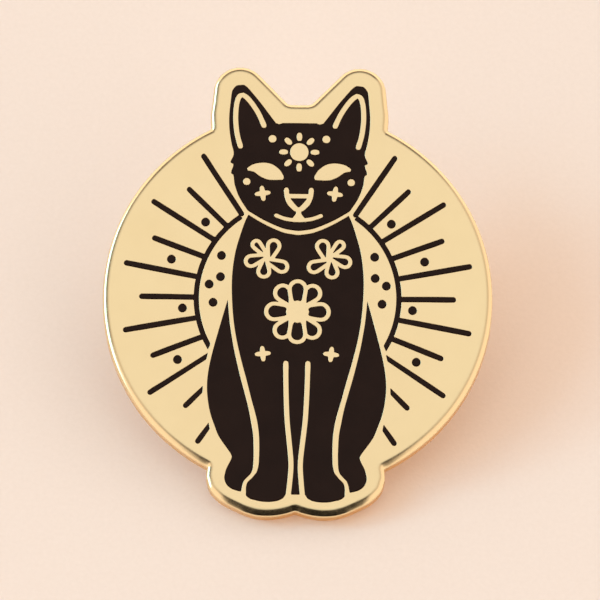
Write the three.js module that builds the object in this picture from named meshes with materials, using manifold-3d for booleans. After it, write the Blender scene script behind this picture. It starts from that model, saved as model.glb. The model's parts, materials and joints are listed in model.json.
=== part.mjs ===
// A cat enamel pin: a gold-plated plate with black enamel let into its face, two nails fixed
// to its back, and on each nail a butterfly clutch whose two wings are squeezed to let go.
//
// The pin is built lying in its own frame, in millimetres: x to the viewer's right, y up the cat,
// z out of the face, with z = 0 on the back of the plate and (0, 0) at the centre of the halo.
// The finished pin is then leaned back until it rests on its feet and on the wings.

import * as THREE from "three";
import { mergeVertices } from "three/addons/utils/BufferGeometryUtils.js";
import Module from "manifold-3d";

const wasm = await Module();
wasm.setup();

// ---------------------------------------------------------------- driving sizes, in millimetres

const HALO_RADIUS = 16.1;
const PLATE_THICKNESS = 1.5;
const RIM_ROUND = 0.3; // rounding of the plate's front edge
const ENAMEL_DEPTH = 0.5;
const ENAMEL_GAP = 0.02; // between a piece of enamel and the metal round it
const LINE = 0.43; // width of a metal line, and of a halo ray
const DOT_RADIUS = 0.36;
const PETAL_RIM = 0.34; // metal round a flower's petals

const NAIL_X = 7; // the nails stand side by side
const NAIL_Y = 4;
const NAIL_RADIUS = 0.575;
const NAIL_LENGTH = 8;
const NAIL_FOOT_RADIUS = 1.5;
const NAIL_FOOT_HEIGHT = 0.4;

const CLUTCH_GAP = 2.2; // cloth held between the plate and a clutch
const CAP_RADIUS = 5.7;
const CAP_SHEET = 0.45;
const CAP_RIM_HEIGHT = 1.5;
const CAP_BORE = 0.8;
const DIMPLE_RADIUS = 2.2; // a shallow dimple pressed round the bore
const DIMPLE_DEPTH = 0.12;
const CHEEK_INNER = 2.35; // half the space between a cap's two cheeks
const CHEEK_HEIGHT = 3;
const PIVOT_OUT = 2.3; // from the nail to a wing's pivot
const PIVOT_HEIGHT = 2.3; // from the cap's front face to a wing's pivot
const PIVOT_RADIUS = 0.34;
const PIVOT_CLEARANCE = 0.08;
const PIVOT_PAST_CHEEK = 0.15;
const WING_SHEET = 0.35;
const WING_NARROW = 2.2; // half a wing's width between the cheeks
const WING_WIDE = 3.4; // half its width at the finger end

const FACE = PLATE_THICKNESS;

// ---------------------------------------------------------------- colours

const gold = () =>
  new THREE.MeshStandardMaterial({ color: 0xecca86, roughness: 0.22, metalness: 1 });
const blackEnamel = () =>
  new THREE.MeshStandardMaterial({ color: 0x1c1512, roughness: 0.12, metalness: 0 });

// ---------------------------------------------------------------- flat outlines, as lists of points

const at = (x, y) => new THREE.Vector2(x, y);
const pairs = (list) => list.map(([x, y]) => at(x, y));
const mirror = (points) => points.map((p) => at(-p.x, p.y));
const onSide = (side, points) => (side < 0 ? mirror(points) : points);

// A smooth line through the given places.
function smooth(list, stepsPerSpan = 2) {
  return new THREE.SplineCurve(pairs(list)).getPoints(stepsPerSpan * (list.length - 1));
}

// Angles are in degrees, anticlockwise from +x.
function arc(x, y, radius, from, to, steps) {
  const points = [];
  for (let i = 0; i <= steps; i++) {
    const angle = THREE.MathUtils.degToRad(from + ((to - from) * i) / steps);
    points.push(at(x + radius * Math.cos(angle), y + radius * Math.sin(angle)));
  }
  return points;
}

function circle(x, y, radius, steps) {
  return arc(x, y, radius, 0, 360, steps).slice(0, steps);
}

// The outline stretched round two circles, which is a capsule when they are equal.
function taper(a, radiusA, b, radiusB, steps = 5) {
  const along = THREE.MathUtils.radToDeg(Math.atan2(b.y - a.y, b.x - a.x));
  const spread = THREE.MathUtils.radToDeg(Math.acos((radiusA - radiusB) / a.distanceTo(b)));
  return [
    ...arc(b.x, b.y, radiusB, along - spread, along + spread, steps),
    ...arc(a.x, a.y, radiusA, along + spread, along + 360 - spread, steps),
  ];
}

// The outline of a band of even width along a smooth line, with round or square ends.
function band(line, width, roundSteps = 3) {
  const half = width / 2;
  const normals = line.map((p, i) => {
    const before = line[Math.max(i - 1, 0)];
    const after = line[Math.min(i + 1, line.length - 1)];
    return at(before.y - after.y, after.x - before.x).normalize();
  });
  const left = line.map((p, i) => p.clone().addScaledVector(normals[i], half));
  const right = line.map((p, i) => p.clone().addScaledVector(normals[i], -half));
  const end = (i) => {
    const centre = line[i];
    const first = i > 0 ? left[i] : right[i];
    const start = THREE.MathUtils.radToDeg(Math.atan2(first.y - centre.y, first.x - centre.x));
    return arc(centre.x, centre.y, half, start, start - 180, roundSteps).slice(1, -1);
  };
  const rounded = roundSteps > 0;
  return [
    ...left,
    ...(rounded ? end(line.length - 1) : []),
    ...[...right].reverse(),
    ...(rounded ? end(0) : []),
  ];
}

// A closed outline from its right half, which runs from the top to the bottom of the mirror line.
function symmetric(half) {
  return [...half, ...mirror(half).reverse().slice(1, -1)];
}

function withoutRepeats(points) {
  return points.filter((p, i) => p.distanceTo(points[(i + 1) % points.length]) > 1e-3);
}

// The outline moved outwards by a small distance, or inwards by a negative one.
function grow(outline, distance) {
  const points = withoutRepeats(outline);
  if (distance === 0) return points;
  const outward = THREE.ShapeUtils.area(points) > 0 ? 1 : -1;
  const normal = (a, b) => at(b.y - a.y, a.x - b.x).normalize().multiplyScalar(outward);
  return points.map((p, i) => {
    const before = normal(points[(i + points.length - 1) % points.length], p);
    const after = normal(p, points[(i + 1) % points.length]);
    const reach = distance / Math.max(1 + before.dot(after), 0.25);
    return p.clone().addScaledVector(before.add(after), reach);
  });
}

// ---------------------------------------------------------------- solids

function solid(geometry) {
  const bare = new THREE.BufferGeometry();
  bare.setAttribute("position", geometry.getAttribute("position"));
  if (geometry.index) bare.setIndex(geometry.index);
  const merged = mergeVertices(bare, 1e-4);
  return new wasm.Manifold(
    new wasm.Mesh({
      numProp: 3,
      vertProperties: merged.getAttribute("position").array,
      triVerts: new Uint32Array(merged.index.array),
    }),
  );
}

// A flat outline given thickness, from one height to another.
function slab(outline, bottom, top) {
  const geometry = new THREE.ExtrudeGeometry(new THREE.Shape(withoutRepeats(outline)), {
    depth: top - bottom,
    bevelEnabled: false,
  });
  geometry.translate(0, 0, bottom);
  return solid(geometry);
}

// A turned piece: its profile is given as [radius, distance behind the plate's back].
function turned(profile, steps) {
  const geometry = new THREE.LatheGeometry(pairs(profile), steps);
  geometry.rotateX(-Math.PI / 2);
  return solid(geometry);
}

const union = (solids) => solids.reduce((all, one) => all.add(one));

function piece(name, shape, material) {
  const made = shape.getMesh();
  const geometry = new THREE.BufferGeometry();
  geometry.setAttribute("position", new THREE.BufferAttribute(made.vertProperties, 3));
  geometry.setIndex(new THREE.BufferAttribute(made.triVerts, 1));
  geometry.computeVertexNormals();
  const mesh = new THREE.Mesh(geometry, material);
  mesh.name = name;
  return mesh;
}

// ---------------------------------------------------------------- the plate's outline

const EAR_JOIN_ANGLE = 63; // where an ear's outer side meets the halo
const FOOT_JOIN_ANGLE = -63;

const plateOutline = symmetric([
  at(0, 16.5),
  ...smooth([[0.65, 16.5], [0.98, 16.58], [1.28, 16.84]]),
  ...arc(4.95, 17.45, 2.2, 140, 0, 9),
  ...smooth([[7.25, 16.5], [7.36, 15.5]]),
  ...arc(0, 0, HALO_RADIUS, EAR_JOIN_ANGLE, FOOT_JOIN_ANGLE, 32),
  ...smooth([[7.38, -15.1], [7.1, -16.15], [6.3, -17.05], [5.3, -17.62], [4.3, -18.08]]),
  ...smooth([[4.3, -18.08], [3.3, -18.38], [2.1, -18.45], [0.95, -18.28], [0, -18]]),
]);

// ---------------------------------------------------------------- the head

const headOutline = symmetric([
  at(0, 14.86),
  ...smooth([[1.4, 14.86], [1.7, 14.77], [1.97, 14.88]]),
  ...smooth([[3.15, 16.45], [4.35, 17.88], [4.85, 18.07], [5.35, 17.95], [5.62, 17.55]]),
  ...smooth([[5.62, 17.55], [5.82, 15.6], [5.76, 14], [5.42, 12.2]]),
  ...pairs([[5.7, 11.5], [5.44, 11.32], [5.62, 10.6], [5.43, 10.42]]),
  ...smooth([[5.33, 9.7], [5.08, 8.9], [4.7, 8.15], [4.2, 7.42]]),
  ...smooth([[4.2, 7.42], [3.2, 6.8], [2.2, 6.3], [1.1, 5.88], [0, 5.73]]),
]);

const EAR_TIP = [4.72, 17.25];

// The two metal strokes that draw the inside of an ear.
const earStrokes = [
  band(smooth([[4.88, 12.87], [5.16, 13.9], [5.3, 15.2], [5.24, 16.4], [5.08, 17.02]], 2), LINE),
  band(smooth([[2.95, 14.65], [3.4, 15.65], [4.1, 16.7], EAR_TIP, [5.08, 17.02]], 2), LINE),
];

const eye = [
  ...smooth([[4.33, 10.98], [3.85, 11.33], [3, 11.5], [2.2, 11.35], [1.55, 10.84], [1.26, 10.3]]),
  ...smooth([[1.35, 10.06], [1.8, 10.02], [2.6, 10.05], [3.25, 10.35], [3.7, 10.67], [4.22, 10.8]]),
];

// A sparkle with four round points.
function star(x, y, turn) {
  const STEPS = 24;
  const points = [];
  for (let i = 0; i < STEPS; i++) {
    const angle = (2 * Math.PI * i) / STEPS;
    const radius = 0.5 + 0.17 * Math.cos(4 * angle);
    const facing = angle + THREE.MathUtils.degToRad(turn);
    points.push(at(x + radius * Math.cos(facing), y + radius * Math.sin(facing)));
  }
  return points;
}

// The round sun between the eyes, with its eight short rays.
function sun(x, y) {
  const RAY_HALF_WIDTH = 0.22;
  const outlines = [circle(x, y, 0.77, 16)];
  for (let i = 0; i < 8; i++) {
    const angle = (i * Math.PI) / 4;
    const along = (distance) => at(x + distance * Math.cos(angle), y + distance * Math.sin(angle));
    outlines.push(taper(along(1.15), RAY_HALF_WIDTH, along(1.45), RAY_HALF_WIDTH, 3));
  }
  return outlines;
}

const nosePad = pairs([[-0.7, 8.47], [0.7, 8.47], [0.08, 7.76], [-0.08, 7.76]]);

// Metal round the nose pad and along the mouth.
const noseSide = band(smooth([[1.03, 9.2], [0.97, 8.65], [0.72, 8.05], [0.2, 7.55]], 2), 0.42);
const noseAndMouth = [
  noseSide,
  mirror(noseSide),
  pairs([[-0.97, 8.87], [0.97, 8.87], [0.97, 8.48], [0, 7.6], [-0.97, 8.48]]),
  pairs([[-0.22, 7.8], [0.22, 7.8], [0.22, 7.2], [0.6, 6.7], [-0.6, 6.7], [-0.22, 7.2]]),
  band(smooth([[-1.85, 7.02], [-1.1, 6.74], [0, 6.62], [1.1, 6.74], [1.85, 7.02]], 2), 0.34),
];

const bothSides = (outlines) => [...outlines, ...outlines.map(mirror)];

const headMetal = [
  ...bothSides([
    ...earStrokes,
    eye,
    circle(2.23, 13.53, 0.33, 10),
    circle(4.32, 9.87, 0.31, 10),
    star(2.99, 8.88, -8),
  ]),
  ...sun(0, 12.42),
  ...noseAndMouth,
];

// ---------------------------------------------------------------- the body

const PAW_FLOOR = -16.58; // bottom of the black between the front legs

const torsoOutline = symmetric([
  ...smooth([[0, 5.36], [1.1, 5.52], [2.2, 5.95], [3.2, 6.47], [4.15, 7.05]], 2),
  ...smooth([[4.4, 6.5], [5.13, 4.1], [5.44, 1.4], [5.26, -1.9], [4.78, -4.5], [4.15, -6.86]]),
  ...smooth([[3.68, -8.67], [3.24, -10.3], [3.04, -11.7], [3.01, -13.1], [3.05, -14.1]], 2),
  ...smooth([[3.2, -14.72], [3.58, -15.22], [3.95, -15.6], [4.07, -16.1], [4.04, -16.72]], 2),
  ...smooth([[3.7, -16.98], [2.9, -17.18], [2.1, -17.22], [1.4, -17.1], [1, -16.88]], 2),
  at(0.8, PAW_FLOOR),
  at(0, PAW_FLOOR),
]);

const legLine = band(
  smooth([[0.91, -5.5], [0.87, -7.6], [0.74, -10.4], [0.46, -13], [0.39, -14.5], [0.6, -16.8]]),
  LINE,
);

const haunchOutline = [
  ...smooth([[5.77, -0.2], [6.6, -3.2], [7.2, -5.7], [7.38, -7.7], [7.08, -9.8], [6.35, -11.75]]),
  ...smooth([[5.4, -13.12], [5.27, -13.45], [5.38, -13.8]], 2),
  ...smooth([[5.7, -14.45], [5.86, -15.2], [5.65, -15.82], [5.15, -16.2], [4.48, -16.38]], 2),
  ...smooth([[4.4, -15.95], [4.22, -15.42], [3.72, -14.88], [3.52, -14.3], [3.48, -13.1]], 2),
  ...smooth([[3.54, -11.6], [3.96, -9.3], [4.63, -6.8], [5.24, -4.2], [5.6, -2]]),
];

// A petal runs from its point, near the flower's centre, to the middle of its round end.
const SMALL_PETALS = [
  { point: [2.27, 3.55], end: [2.03, 4.43], radius: 0.31 },
  { point: [2.93, 3.93], end: [3.45, 4.52], radius: 0.16 },
  { point: [2.9, 3.45], end: [3.88, 3.12], radius: 0.27 },
  { point: [2.75, 3.05], end: [2.82, 2.25], radius: 0.29 },
  { point: [2.33, 3.08], end: [1.33, 2.67], radius: 0.28 },
];
const PETAL_POINT_RADIUS = 0.03;

function petal({ point, end, radius }, rim = 0) {
  return taper(at(...point), PETAL_POINT_RADIUS + rim, at(...end), radius + rim, 7);
}

const smallFlowerMetal = SMALL_PETALS.map((one) => petal(one, PETAL_RIM));

// The big flower: four petals on its axes, and four between them that reach behind those.
const FLOWER_Y = -1.13;
const FLOWER_DISC = 0.96;
const FLOWER_RIM = 0.36;
const AXIS_NAMES = ["right", "top", "left", "bottom"];
const DIAGONAL_NAMES = ["top_right", "top_left", "bottom_left", "bottom_right"];

function axisPetal(quarter, rim = 0) {
  const angle = (quarter * Math.PI) / 2;
  const along = (r) => at(r * Math.cos(angle), FLOWER_Y + r * Math.sin(angle));
  return taper(along(1.2), 0.38 + rim, along(1.91), 0.49 + rim, 8);
}

function diagonalPetal(quarter, rim = 0) {
  const sideX = quarter === 0 || quarter === 3 ? 1 : -1;
  const sideY = quarter < 2 ? 1 : -1;
  const point = at(0.76 * sideX, FLOWER_Y + 0.79 * sideY);
  const end = at(1.22 * sideX, FLOWER_Y + 1.57 * sideY);
  return taper(point, PETAL_POINT_RADIUS + rim, end, 0.46 + rim, 8);
}

const QUARTERS = [0, 1, 2, 3];
const flowerDisc = circle(0, FLOWER_Y, FLOWER_DISC, 16);
const axisPetalRims = QUARTERS.map((quarter) => axisPetal(quarter, FLOWER_RIM));
const bigFlowerMetal = [
  flowerDisc,
  ...axisPetalRims,
  ...QUARTERS.map((quarter) => diagonalPetal(quarter, FLOWER_RIM)),
];

const torsoMetal = [
  ...bothSides([legLine, star(2.82, -4.72, -6), ...smallFlowerMetal]),
  ...bigFlowerMetal,
];

// ---------------------------------------------------------------- the halo

const ARC_INNER = 8.16;
const ARC_OUTER = 8.58;

// Each ray runs from its outer end to where it meets the arc, from the top ray down.
const ARC_RAYS = [
  [[7.9, 11.97], [4.72, 7.12]],
  [[9.05, 9.13], [5.92, 6.07]],
  [[11.97, 8.06], [6.9, 4.85]],
  [[11.87, 4.97], [7.8, 3.45]],
  [[14.17, 2.84], [8.4, 1.75]],
  [[12.87, 0.02], [8.4, 0]],
  [[14.17, -2.83], [8.4, -1.75]],
  [[11.88, -4.96], [7.8, -3.33]],
];

const arcBand = [
  ...arc(0, 0, ARC_OUTER, 55.5, -31, 16),
  ...arc(0, 0, ARC_INNER, -28.8, 55.5, 16),
];

const ray = ([outer, inner]) => taper(at(...outer), LINE / 2, at(...inner), LINE / 2, 3);

// The lowest rays stop one metal line short of the haunch, so their inner ends are cut slanting.
const SHORT_RAYS = [
  { outer: [12.08, -8.09], cut: [[7.35, -4.7], [7.48, -5.25]] },
  { outer: [9.13, -9.17], cut: [[7.74, -7.5], [7.76, -8.06]] },
  { outer: [8.09, -12.17], cut: [[7.22, -10.6], [7.12, -11.12]] },
];

function shortRay({ outer, cut }) {
  const [upper, lower] = pairs(cut);
  const middle = upper.clone().add(lower).divideScalar(2);
  const centre = at(...outer);
  const away = THREE.MathUtils.radToDeg(Math.atan2(centre.y - middle.y, centre.x - middle.x));
  return [upper, lower, ...arc(centre.x, centre.y, LINE / 2, away - 90, away + 90, 3)];
}

const OUTER_DOTS = [[7.68, 6.38], [10.46, 3.2], [9.5, -0.93], [9.85, -5.3]];
const INNER_DOTS = [[6.33, 3.56], [6.39, 1.76], [7.32, 1.12], [6.98, -0.42]];
const dot = ([x, y]) => circle(x, y, DOT_RADIUS, 12);

// ---------------------------------------------------------------- the enamel

// Each cell of the face is the union of its fill outlines, less its metal outlines.
const cells = [
  { name: "head_enamel", fill: [headOutline], metal: headMetal },
  { name: "nose_enamel", fill: [nosePad], metal: [] },
  { name: "torso_enamel", fill: [torsoOutline], metal: torsoMetal },
];

QUARTERS.forEach((quarter) => {
  cells.push({
    name: "flower_petal_" + AXIS_NAMES[quarter],
    fill: [axisPetal(quarter)],
    metal: [flowerDisc],
  });
  cells.push({
    name: "flower_petal_" + DIAGONAL_NAMES[quarter],
    fill: [diagonalPetal(quarter)],
    metal: axisPetalRims,
  });
});

for (const [label, side] of [["left", -1], ["right", 1]]) {
  const add = (name, ...outlines) => {
    const fill = outlines.map((outline) => onSide(side, outline));
    cells.push({ name: label + "_" + name, fill, metal: [] });
  };
  add("haunch_enamel", haunchOutline);
  add("halo_arc_enamel", arcBand, ...ARC_RAYS.map(ray));
  SHORT_RAYS.forEach((one, i) => add("low_ray_" + (i + 1), shortRay(one)));
  OUTER_DOTS.forEach((place, i) => add("outer_dot_" + (i + 1), dot(place)));
  INNER_DOTS.forEach((place, i) => add("inner_dot_" + (i + 1), dot(place)));
  SMALL_PETALS.forEach((one, i) => add("small_petal_" + (i + 1), petal(one)));
}

function cellSolid({ fill, metal }, gap, bottom, top) {
  const PAST = 0.2; // the metal's cutters stand out of the cell at both ends
  let shape = union(fill.map((outline) => slab(grow(outline, -gap), bottom, top)));
  for (const outline of metal) {
    shape = shape.subtract(slab(grow(outline, gap), bottom - PAST, top + PAST));
  }
  return shape;
}

const FLOOR = FACE - ENAMEL_DEPTH;
const recess = (cell) => cellSolid(cell, 0, FLOOR, FACE + ENAMEL_DEPTH);
const enamel = (cell) => cellSolid(cell, ENAMEL_GAP, FLOOR + ENAMEL_GAP, FACE - ENAMEL_GAP / 2);

// ---------------------------------------------------------------- the plate

// The front edge is rounded over; the back is cut off square.
function plateSolid() {
  const geometry = new THREE.ExtrudeGeometry(new THREE.Shape(withoutRepeats(plateOutline)), {
    depth: PLATE_THICKNESS,
    bevelThickness: RIM_ROUND,
    bevelSize: RIM_ROUND,
    bevelOffset: -RIM_ROUND,
    bevelSegments: 2,
  });
  geometry.translate(0, 0, -RIM_ROUND);
  const AROUND = 40;
  const behind = slab(
    pairs([[-AROUND, -AROUND], [AROUND, -AROUND], [AROUND, AROUND], [-AROUND, AROUND]]),
    -PLATE_THICKNESS,
    0,
  );
  return solid(geometry).subtract(behind).subtract(union(cells.map(recess)));
}

// ---------------------------------------------------------------- a nail

// A flat foot on the plate's back, a plain shank, a neck for the clutch to grip, and a point.
function nailSolid() {
  const NECK_AT = 5.6;
  const NECK_RADIUS = 0.46;
  return turned(
    [
      [0, 0],
      [NAIL_FOOT_RADIUS, 0],
      [NAIL_FOOT_RADIUS, NAIL_FOOT_HEIGHT - 0.12],
      [NAIL_FOOT_RADIUS - 0.2, NAIL_FOOT_HEIGHT],
      [NAIL_RADIUS, NAIL_FOOT_HEIGHT + 0.1],
      [NAIL_RADIUS, NECK_AT],
      [NECK_RADIUS, NECK_AT + 0.2],
      [NECK_RADIUS, NECK_AT + 0.6],
      [NAIL_RADIUS, NECK_AT + 0.8],
      [NAIL_RADIUS * 0.8, NAIL_LENGTH - 0.7],
      [NAIL_RADIUS * 0.2, NAIL_LENGTH - 0.04],
      [0, NAIL_LENGTH],
    ],
    12,
  );
}

// ---------------------------------------------------------------- a clutch

// Clutch pieces are drawn with the nail at their origin, and distances in z behind the cap's
// front face. The wings stand out to either side along x.

// A shallow pressed dish, bored for the nail, with a cheek on each side to hold the pivots.
function capSolid() {
  const BEND = 0.25;
  const LIP = 0.12;
  const inside = CAP_RADIUS - CAP_SHEET;
  const dish = turned(
    [
      [CAP_BORE, DIMPLE_DEPTH],
      [DIMPLE_RADIUS, DIMPLE_DEPTH],
      [DIMPLE_RADIUS + BEND, 0],
      [CAP_RADIUS - BEND, 0],
      [CAP_RADIUS, BEND],
      [CAP_RADIUS, CAP_RIM_HEIGHT - LIP],
      [CAP_RADIUS - CAP_SHEET / 2, CAP_RIM_HEIGHT],
      [inside, CAP_RIM_HEIGHT - LIP],
      [inside, CAP_SHEET + BEND],
      [inside - BEND, CAP_SHEET],
      [DIMPLE_RADIUS + BEND, CAP_SHEET],
      [DIMPLE_RADIUS, CAP_SHEET + DIMPLE_DEPTH],
      [CAP_BORE, CAP_SHEET + DIMPLE_DEPTH],
      [CAP_BORE, DIMPLE_DEPTH],
    ],
    24,
  );
  return union([dish, cheekSolid(1), cheekSolid(-1)]);
}

// An upright plate with rounded shoulders and a hole for each wing's pivot. It is drawn flat,
// as [x, height], and then stood up.
function cheekSolid(side) {
  const HALF_LENGTH = 3.1;
  const SHOULDER = 0.8;
  const foot = CAP_SHEET / 2;
  const outline = [
    at(HALF_LENGTH, foot),
    ...arc(HALF_LENGTH - SHOULDER, CHEEK_HEIGHT - SHOULDER, SHOULDER, 0, 90, 4),
    ...arc(SHOULDER - HALF_LENGTH, CHEEK_HEIGHT - SHOULDER, SHOULDER, 90, 180, 4),
    at(-HALF_LENGTH, foot),
  ];
  const hole = (x) => circle(x, PIVOT_HEIGHT, PIVOT_RADIUS + PIVOT_CLEARANCE, 12);
  const from = side > 0 ? CHEEK_INNER : -CHEEK_INNER - CAP_SHEET;
  const upright = standingSlab(outline, from, from + CAP_SHEET);
  return upright
    .subtract(standingSlab(hole(PIVOT_OUT), from - 1, from + 1))
    .subtract(standingSlab(hole(-PIVOT_OUT), from - 1, from + 1));
}

// A slab of an outline drawn as [x, distance behind], with its thickness along y.
function standingSlab(outline, from, to) {
  const geometry = new THREE.ExtrudeGeometry(new THREE.Shape(withoutRepeats(outline)), {
    depth: to - from,
    bevelEnabled: false,
  });
  geometry.translate(0, 0, from);
  geometry.rotateX(-Math.PI / 2);
  return solid(geometry);
}

// A bent spring leaf: a jaw that reaches in to the nail, a pivot, and a wing for the finger.
function wingSolid(side) {
  const bend = [
    [0.82, 1.08], [1.5, 1.62], [PIVOT_OUT, PIVOT_HEIGHT], [2.62, 3.4], [3.5, 4.75], [5.35, 5.75],
  ];
  const leafLine = onSide(side, smooth(bend));
  const leaf = standingSlab(band(leafLine, WING_SHEET, 0), -WING_WIDE, WING_WIDE);
  const planHalf = [
    ...pairs([[0, WING_NARROW], [2.75, WING_NARROW]]),
    ...smooth([[3.2, WING_NARROW + 0.2], [3.8, WING_WIDE - 0.15], [4.4, WING_WIDE]]),
    ...smooth([[4.4, WING_WIDE], [4.8, WING_WIDE - 0.2], [5.1, WING_WIDE - 0.6]]),
    ...smooth([[5.35, 2.2], [5.6, 1]], 1),
  ];
  const plan = onSide(side, [...planHalf, ...planHalf.map((p) => at(p.x, -p.y)).reverse()]);
  const pivotLength = CHEEK_INNER + CAP_SHEET + PIVOT_PAST_CHEEK;
  const pivot = standingSlab(
    circle(side * PIVOT_OUT, PIVOT_HEIGHT, PIVOT_RADIUS, 12),
    -pivotLength,
    pivotLength,
  );
  return leaf.intersect(slab(plan, -NAIL_LENGTH, 0)).add(pivot);
}

// ---------------------------------------------------------------- assembly

const pin = new THREE.Group();
pin.add(piece("plate", plateSolid(), gold()));
for (const cell of cells) {
  pin.add(piece(cell.name, enamel(cell), blackEnamel()));
}

for (const [label, side] of [["left", -1], ["right", 1]]) {
  const nail = piece(label + "_nail", nailSolid(), gold());
  nail.position.set(side * NAIL_X, NAIL_Y, 0);
  pin.add(nail);

  const clutch = new THREE.Group();
  clutch.position.set(side * NAIL_X, NAIL_Y, -CLUTCH_GAP);
  clutch.add(piece(label + "_clutch_cap", capSolid(), gold()));
  clutch.add(piece(label + "_clutch_outer_wing", wingSolid(side), gold()));
  clutch.add(piece(label + "_clutch_inner_wing", wingSolid(-side), gold()));
  pin.add(clutch);
}

// How far the pin lies back: a line from the bottom of its feet, along its back, is swung out
// until it meets the first point of the clutches, and that line is the table.
function leanAngle() {
  const feetY = Math.min(...plateOutline.map((p) => p.y));
  const place = new THREE.Vector3();
  let steepest = 0;
  pin.updateMatrixWorld(true);
  pin.traverse((part) => {
    if (!part.isMesh || !part.name.includes("clutch")) return;
    const positions = part.geometry.getAttribute("position");
    for (let i = 0; i < positions.count; i++) {
      place.fromBufferAttribute(positions, i).applyMatrix4(part.matrixWorld);
      steepest = Math.max(steepest, Math.atan2(-place.z, place.y - feetY));
    }
  });
  return steepest;
}

pin.rotation.x = leanAngle();

// The row's origin is on the table, under the middle of the pin.
const group = new THREE.Group();
group.add(pin);
const box = new THREE.Box3().setFromObject(group, true);
const centre = box.getCenter(new THREE.Vector3());
pin.position.set(-centre.x, -centre.y, -box.min.z);

export default group;
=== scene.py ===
"""The looks of a black cat enamel pin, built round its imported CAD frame.

Shapes are worked out in the pin's own frame, in millimetres: x to the viewer's right, y up the
cat and z out of the face, with z = 0 on the back of the plate. PIN turns that frame into the world.
"""

import json
import math

import bpy
from mathutils import Matrix, Vector
from mathutils.geometry import delaunay_2d_cdt


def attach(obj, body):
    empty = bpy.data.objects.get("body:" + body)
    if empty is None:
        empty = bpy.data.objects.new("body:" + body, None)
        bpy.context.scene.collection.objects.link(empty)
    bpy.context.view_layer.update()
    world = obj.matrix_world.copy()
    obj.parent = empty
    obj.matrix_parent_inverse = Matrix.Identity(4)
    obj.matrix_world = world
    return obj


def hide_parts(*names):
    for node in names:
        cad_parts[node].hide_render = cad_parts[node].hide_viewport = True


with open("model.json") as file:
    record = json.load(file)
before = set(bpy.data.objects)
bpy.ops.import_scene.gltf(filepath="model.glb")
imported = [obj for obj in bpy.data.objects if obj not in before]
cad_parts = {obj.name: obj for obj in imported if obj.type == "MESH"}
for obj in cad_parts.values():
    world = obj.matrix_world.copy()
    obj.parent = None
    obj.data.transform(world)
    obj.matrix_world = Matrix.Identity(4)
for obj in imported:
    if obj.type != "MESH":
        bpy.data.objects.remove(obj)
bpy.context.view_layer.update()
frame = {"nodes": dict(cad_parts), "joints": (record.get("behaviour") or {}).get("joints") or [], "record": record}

# ------------------------------------------------------------------ the pin's own frame

MM = 0.001
mounts = {mount["name"]: mount for mount in frame["record"]["mounts"]}
joints = {joint["name"]: joint for joint in frame["joints"]}

OUT = -Vector(mounts["back_face"]["axis"])
RIGHT = Vector((1, 0, 0))
UP_THE_CAT = OUT.cross(RIGHT)
TURN = Matrix((RIGHT, UP_THE_CAT, OUT)).transposed().to_4x4()
BACK_POINT = Vector(mounts["back_face"]["pos_m"])
BACK_POINT.x = 0
PIN = Matrix.Translation(BACK_POINT) @ TURN @ Matrix.Scale(MM, 4)
TO_PIN = PIN.inverted()

# ------------------------------------------------------------------ sizes, in millimetres

ROUND_STEPS = 4
RIM_LEAD_IN = 0.5  # the plate's face first slopes away gently towards its edge
RIM_LEAD_SLOPE = 20  # degrees, where the lead-in ends
RIM_ROLL_WIDTH = 0.6  # half axes of the ellipse that rolls on from there down to the side wall
RIM_ROLL_HEIGHT = 0.3
BACK_ROUND = 0.08
LINE_ROUND = 0.035  # rounding of the metal where it meets enamel
CORNER_FILLET = 0.09  # no struck corner is sharper than this
ENAMEL_FLOOR_LIFT = 0.02
LEAST_AREA = 0.01  # anything smaller in the frame is a sliver, not an outline

CAP_SHEET = 0.45
CAP_RIM_HEIGHT = 1.5
CAP_BEAD = 0.24  # radius of the bead rolled along the cap's rim
CAP_EMBOSS = 0.12  # how far the middle of the cap stands forward
CAP_PLAY = 0.02  # the pressed cap stays this far inside the CAD cap
CHEEK_INNER = 2.35  # half the space between a cap's two cheeks
CHEEK_HALF_LENGTH = 3.1
CHEEK_SHOULDER = 0.8
CHEEK_EDGE = 0.07
PIVOT_HOLE = 0.42
PIVOT_RADIUS = 0.34
PIVOT_HALF_LENGTH = 2.95
KNUCKLE_RADIUS = 0.52
WING_SHEET = 0.35
WING_NARROW = 2.2  # half a wing's width between the cheeks
WING_TIP_ROUND = 1.6  # length over which a wing's end is rounded off
LATHE_STEPS = 72

PLATE_FACE, PLATE_BACK, PLATE_WALL_PAINTED_SHADE = 0, 1, 2  # the plate's material slots


def cad_points(name):
    return [TO_PIN @ vertex.co for vertex in frame["nodes"][name].data.vertices]


plate_points = cad_points("plate")
THICKNESS = max(p.z for p in plate_points)
PLATE_TOP_Y = max(p.y for p in plate_points)
PLATE_BOTTOM_Y = min(p.y for p in plate_points)

# ------------------------------------------------------------------ outlines from the frame


def flat_loops(name, height, facing):
    """The edges of a node's flat faces at one height, as closed lists of (x, y).

    Each list keeps the material on its left for faces that look out of the face (facing 1),
    and on its right for the back (facing -1).
    """
    points = cad_points(name)
    places = [(round(p.x, 3), round(p.y, 3)) for p in points]
    directed = set()
    for polygon in frame["nodes"][name].data.polygons:
        corners = list(polygon.vertices)
        if any(abs(points[i].z - height) > 2e-3 for i in corners):
            continue
        for a, b in zip(corners, corners[1:] + corners[:1]):
            if places[a] != places[b]:
                directed.add((places[a], places[b]))
    border = {a: b for a, b in directed if (b, a) not in directed}
    loops = []
    while border:
        start, place = border.popitem()
        loop = [start]
        while place != start:
            loop.append(place)
            place = border.pop(place)
        if facing < 0:
            loop.reverse()
        loop = [Vector(p) for p in loop]
        if abs(area_of(loop)) > LEAST_AREA:
            loops.append(loop)
    return loops


def area_of(loop):
    """Positive where the outline runs anticlockwise."""
    return sum(a.cross(b) for a, b in zip(loop, loop[1:] + loop[:1])) / 2


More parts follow.
